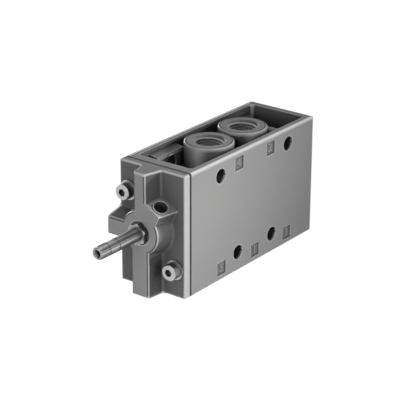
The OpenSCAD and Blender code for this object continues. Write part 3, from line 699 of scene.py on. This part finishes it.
def sprung(node, name, finish):
    """Dressed spring with a mesh of its own. It is not shortened with its joint."""
    joint, end = next((j, d) for j in frame["record"]["behaviour"]["joints"]
                      for d in j.get("deforming_nodes", []) if d["node"] == node)
    made = dressed(node, name, finish)
    low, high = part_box(node)
    keep = 1 - joint["range_m"][1] / (high[0] - low[0])
    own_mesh(made)
    return made


def helix_ridge(root, crest, pitch, turns, flat, steps=40):
    """Thread ridge around +Z from z = 0, as one solid whose turns stay a little apart."""
    bm = bmesh.new()
    half = pitch * 0.46
    rim = [bm.verts.new((root, 0, -half)), bm.verts.new((crest, 0, -flat / 2)),
           bm.verts.new((crest, 0, flat / 2)), bm.verts.new((root, 0, half))]
    face = bm.faces.new(rim)
    count = int(steps * turns)
    bmesh.ops.spin(bm, geom=[face, *face.edges, *rim], cent=(0, 0, 0), axis=(0, 0, 1),
                   dvec=(0, 0, pitch / steps), angle=2 * math.pi * turns, steps=count,
                   use_merge=False, use_duplicate=False)
    bmesh.ops.recalc_face_normals(bm, faces=bm.faces)
    return bm


def placed(bm, at, axis):
    """Moves a bmesh drawn around +Z so that +Z points along axis from the point at."""
    turn = Vector(axis).to_track_quat("Z", "Y").to_matrix().to_4x4()
    bmesh.ops.transform(bm, matrix=Matrix.Translation(Vector(at)) @ turn, verts=bm.verts)
    return bm


# Operators


class VALVE_OT_castings(bpy.types.Operator):
    """Dress the cast body and the pilot head"""

    bl_idname = "valve.castings"
    bl_label = "Castings"

    def execute(self, context):
        coat = context.scene.valve_coat
        dressed("body_casting", "body_shell",
                cast_coat("silver coat of the body", coat.body_tone, coat, body=True))
        dressed("pilot_head", "head_shell",
                cast_coat("silver coat of the head", coat.head_tone, coat, head=True))
        return {"FINISHED"}


class VALVE_OT_joint(bpy.types.Operator):
    """Dress the gasket, the head screws and their washers"""

    bl_idname = "valve.joint"
    bl_label = "Head joint"

    def execute(self, context):
        dressed("head_gasket", "joint_gasket", nitrile("joint rubber"))
        zinc = zinc_plate("zinc plated steel")
        dressed("head_screws", "socket_screws", zinc)
        dressed("screw_washers", "spring_washers", zinc)
        return {"FINISHED"}


class VALVE_OT_port_threads(bpy.types.Operator):
    """Cut a pipe thread into each port"""

    bl_idname = "valve.port_threads"
    bl_label = "Port threads"

    def execute(self, context):
        thread = context.scene.valve_thread
        finish = tapped_metal("tapped metal")
        for name, mount in mounts.items():
            if mount["kind"] != "threaded_hole":
                continue
            root = mount["dims"]["r_mm"] * MM + SUNK
            bm = helix_ridge(root, thread.minor, thread.pitch, thread.turns, thread.pitch / 7)
            axis = Vector(mount["axis"])
            start = Vector(mount["pos_m"]) - axis * (thread.pitch * thread.turns + THREAD_DEPTH * MM)
            bm = placed(bm, start, axis)
            shown("thread_" + name, bm, "valve_body", finish, THREAD_CREASE)
        return {"FINISHED"}


class VALVE_OT_numbers(bpy.types.Operator):
    """Raise the port numbers in their pads"""

    bl_idname = "valve.numbers"
    bl_label = "Port numbers"

    def execute(self, context):
        size = context.scene.valve_number
        coat = context.scene.valve_coat
        finish = cast_coat("raised numbers", coat.body_tone * NUMBER_TONE, coat)
        for digit, (x, z) in PAD_CENTRES.items():
            curve = bpy.data.curves.new("number", "FONT")
            curve.body = digit
            curve.size = size.height * FONT_SIZE
            curve.align_x = "CENTER"
            curve.align_y = "CENTER"
            curve.extrude = size.relief / 2
            curve.bevel_depth = 0.05 * MM
            curve.bevel_resolution = 2
            letter = bpy.data.objects.new("number", curve)
            context.scene.collection.objects.link(letter)
            context.view_layer.update()
            solid = letter.evaluated_get(context.evaluated_depsgraph_get()).to_mesh()
            bm = bmesh.new()
            bm.from_mesh(solid)
            bpy.data.objects.remove(letter)
            bmesh.ops.remove_doubles(bm, verts=bm.verts, dist=MERGE)
            bmesh.ops.recalc_face_normals(bm, faces=bm.faces)
            spot = Matrix.Translation((x * MM, PAD_FLOOR_Y * MM - size.relief / 2, z * MM))
            upright = Matrix.Rotation(math.pi / 2, 4, "X")
            bmesh.ops.transform(bm, matrix=spot @ upright, verts=bm.verts)
            shown("number_" + digit, bm, "valve_body", finish, DIGIT_CREASE)
        return {"FINISHED"}


class VALVE_OT_tube(bpy.types.Operator):
    """Dress the armature tube and its core and cut the thread at the end"""

    bl_idname = "valve.tube"
    bl_label = "Armature tube"

    def execute(self, context):
        thread = context.scene.valve_thread
        steel = drawn_steel("drawn tube steel")
        dressed("armature_tube", "pilot_tube", steel)
        dressed("fixed_core", "tube_core", steel)
        dressed("tube_seal", "tube_ring", nitrile("tube ring rubber", 0.4))
        pin = mounts["coil_nut_thread"]
        axis = Vector(pin["axis"])
        length = pin["dims"]["length_mm"] * MM
        radius = pin["dims"]["r_mm"] * MM
        turns = int(length / thread.tube_pitch) - 1
        bm = helix_ridge(radius - SUNK, radius + TUBE_CREST, thread.tube_pitch, turns, thread.tube_pitch / 8)
        start = Vector(pin["pos_m"]) - axis * (turns * thread.tube_pitch / 2)
        bm = placed(bm, start, axis)
        shown("thread_tube_end", bm, "valve_body", steel, THREAD_CREASE)
        return {"FINISHED"}


class VALVE_OT_pilot_works(bpy.types.Operator):
    """Dress the armature, its discs and spring and the nozzle"""

    bl_idname = "valve.pilot_works"
    bl_label = "Pilot works"

    def execute(self, context):
        rubber = nitrile("seat rubber", 0.45)
        steel = turned_metal("armature steel", (0.50, 0.50, 0.50), 0.3)
        brass = turned_metal("nozzle brass", (0.70, 0.50, 0.22), 0.28)
        wire = turned_metal("fine spring wire", (0.52, 0.52, 0.53), 0.22)
        dressed("armature", "pilot_armature", steel)
        dressed("seat_disc", "armature_seat_disc", rubber)
        dressed("exhaust_disc", "armature_exhaust_disc", rubber)
        dressed("pilot_nozzle", "nozzle", brass)
        sprung("armature_spring", "plunger_spring", wire)
        return {"FINISHED"}


class VALVE_OT_override(bpy.types.Operator):
    """Dress the manual override"""

    bl_idname = "valve.override"
    bl_label = "Manual override"

    def execute(self, context):
        brass = turned_metal("override brass", (0.06, 0.059, 0.055), 0.4)
        dressed("override_spindle", "override_screw", brass)
        dressed("override_seal", "override_ring", nitrile("override ring rubber", 0.4))
        dressed("override_pin", "retaining_pin", zinc_plate("pin steel"))
        return {"FINISHED"}


class VALVE_OT_spool_set(bpy.types.Operator):
    """Dress the spool, its piston, spring, cages and seals"""

    bl_idname = "valve.spool_set"
    bl_label = "Spool set"

    def execute(self, context):
        dressed("spool", "valve_spool", turned_metal("anodised spool", (0.62, 0.63, 0.64), 0.3))
        dressed("pilot_piston", "drive_piston", acetal("piston plastic", (0.035, 0.035, 0.038)))
        dressed("piston_seal", "piston_ring", nitrile("piston rubber", 0.4))
        sprung("return_spring", "spool_spring", turned_metal("spring wire", (0.50, 0.50, 0.51), 0.22))
        brass = turned_metal("bush brass", (0.70, 0.50, 0.22), 0.26)
        dressed("front_bush", "bore_bush_front", brass)
        dressed("rear_bush", "bore_bush_rear", brass)
        cage = acetal("cage plastic", (0.66, 0.62, 0.50))
        for port in (5, 4, 1, 2, 3):
            dressed("cage_port_%d" % port, "spacer_cage_%d" % port, cage)
        ring = nitrile("spool seal rubber", 0.36)
        for place in range(1, 7):
            dressed("seal_ring_%d" % place, "spool_seal_%d" % place, ring)
        return {"FINISHED"}


class VALVE_OT_studio(bpy.types.Operator):
    """Set up the floor, the lamps, the world and the camera"""

    bl_idname = "valve.studio"
    bl_label = "Studio"

    def execute(self, context):
        studio = context.scene.valve_studio
        scene = context.scene
        scene.view_settings.view_transform = "Standard"
        target = Vector(studio.target)
        self.floor(scene)
        self.world(scene, studio.sky)
        for name, (power, direction, size, distance, aim, cone) in LAMPS.items():
            aim = Vector(aim or target)
            self.lamp(scene, name, power * studio.gain, direction, distance, aim, size, cone)
        self.camera(scene, studio, target)
        return {"FINISHED"}

    def floor(self, scene):
        bm = bmesh.new()
        bmesh.ops.create_circle(bm, cap_ends=True, segments=96, radius=FLOOR_RADIUS)
        mesh = bpy.data.meshes.new("studio_floor")
        bm.to_mesh(mesh)
        bm.free()
        f = Finish("white floor")
        f.surface(Base_Color=grey(FLOOR_TONE), Roughness=0.9, Specular_IOR_Level=0.0,
                  Emission_Color=f.tint(f.seen(), grey(0.0), grey(1.0)), Emission_Strength=FLOOR_GLOW)
        mesh.materials.append(f.material)
        made = bpy.data.objects.new("studio_floor", mesh)
        scene.collection.objects.link(made)

    def world(self, scene, sky):
        world = bpy.data.worlds.new("studio light")
        world.use_nodes = True
        scene.world = world
        graph = Graph(world.node_tree)
        even = graph.node("ShaderNodeBackground", Color=grey(1.0), Strength=sky)
        white = graph.node("ShaderNodeBackground", Color=grey(1.0), Strength=1.0)
        blend = graph.node("ShaderNodeMixShader", None, graph.seen(), even, white)
        graph.tree.nodes.remove(graph.tree.nodes["Background"])
        graph.feed(graph.tree.nodes["World Output"].inputs["Surface"], blend)

    def lamp(self, scene, name, power, direction, distance, target, size, cone):
        light = bpy.data.lights.new(name, "SPOT" if cone else "AREA")
        if cone:
            light.spot_size = math.radians(cone)
            light.spot_blend = 1.0
            light.shadow_soft_size = size / 2
        else:
            light.shape = "DISK"
            light.size = size
        light.energy = power
        made = bpy.data.objects.new(name, light)
        towards = Vector(direction).normalized()
        made.matrix_world = (Matrix.Translation(target + towards * distance)
                             @ towards.to_track_quat("Z", "Y").to_matrix().to_4x4())
        made.visible_camera = False
        made.visible_glossy = not cone
        scene.collection.objects.link(made)

    def camera(self, scene, studio, target):
        lens = bpy.data.cameras.new("photo camera")
        lens.sensor_width = 36.0
        lens.lens = studio.lens
        lens.clip_start = 0.01
        lens.clip_end = 20.0
        made = bpy.data.objects.new("photo camera", lens)
        a, e = studio.azimuth, studio.elevation
        back = Vector((math.sin(a) * math.cos(e), -math.cos(a) * math.cos(e), math.sin(e)))
        made.matrix_world = (Matrix.Translation(target + back * studio.distance)
                             @ back.to_track_quat("Z", "Y").to_matrix().to_4x4()
                             @ Matrix.Rotation(studio.roll, 4, "Z"))
        scene.collection.objects.link(made)
        scene.camera = made


class VALVE_PT_panel(bpy.types.Panel):
    """Lists the steps that dress the valve"""

    bl_idname = "VALVE_PT_panel"
    bl_label = "Spool valve"
    bl_space_type = "VIEW_3D"
    bl_region_type = "UI"
    bl_category = "Valve"

    def draw(self, context):
        layout = self.layout
        for title, name in SETTINGS:
            box = layout.box()
            box.label(text=title)
            group = getattr(context.scene, name)
            for key in group.__annotations__:
                box.prop(group, key)
        for step in STEPS:
            layout.operator(step.bl_idname)


STEPS = [VALVE_OT_castings, VALVE_OT_joint, VALVE_OT_port_threads, VALVE_OT_numbers, VALVE_OT_tube,
         VALVE_OT_pilot_works, VALVE_OT_override, VALVE_OT_spool_set, VALVE_OT_studio]
GROUPS = {"valve_coat": CoatSettings, "valve_thread": ThreadSettings,
          "valve_number": NumberSettings, "valve_studio": StudioSettings}
SETTINGS = [("Coat", "valve_coat"), ("Threads", "valve_thread"),
            ("Numbers", "valve_number"), ("Studio", "valve_studio")]


def register():
    for cls in [*GROUPS.values(), *STEPS, VALVE_PT_panel]:
        bpy.utils.register_class(cls)
    for name, cls in GROUPS.items():
        setattr(bpy.types.Scene, name, PointerProperty(type=cls))


def unregister():
    for name in GROUPS:
        delattr(bpy.types.Scene, name)
    for cls in reversed([*GROUPS.values(), *STEPS, VALVE_PT_panel]):
        bpy.utils.unregister_class(cls)


def main():
    register()
    bpy.ops.valve.castings()
    bpy.ops.valve.joint()
    bpy.ops.valve.port_threads()
    bpy.ops.valve.numbers()
    bpy.ops.valve.tube()
    bpy.ops.valve.pilot_works()
    bpy.ops.valve.override()
    bpy.ops.valve.spool_set()
    bpy.ops.valve.studio()


if __name__ == "__main__":
    main()
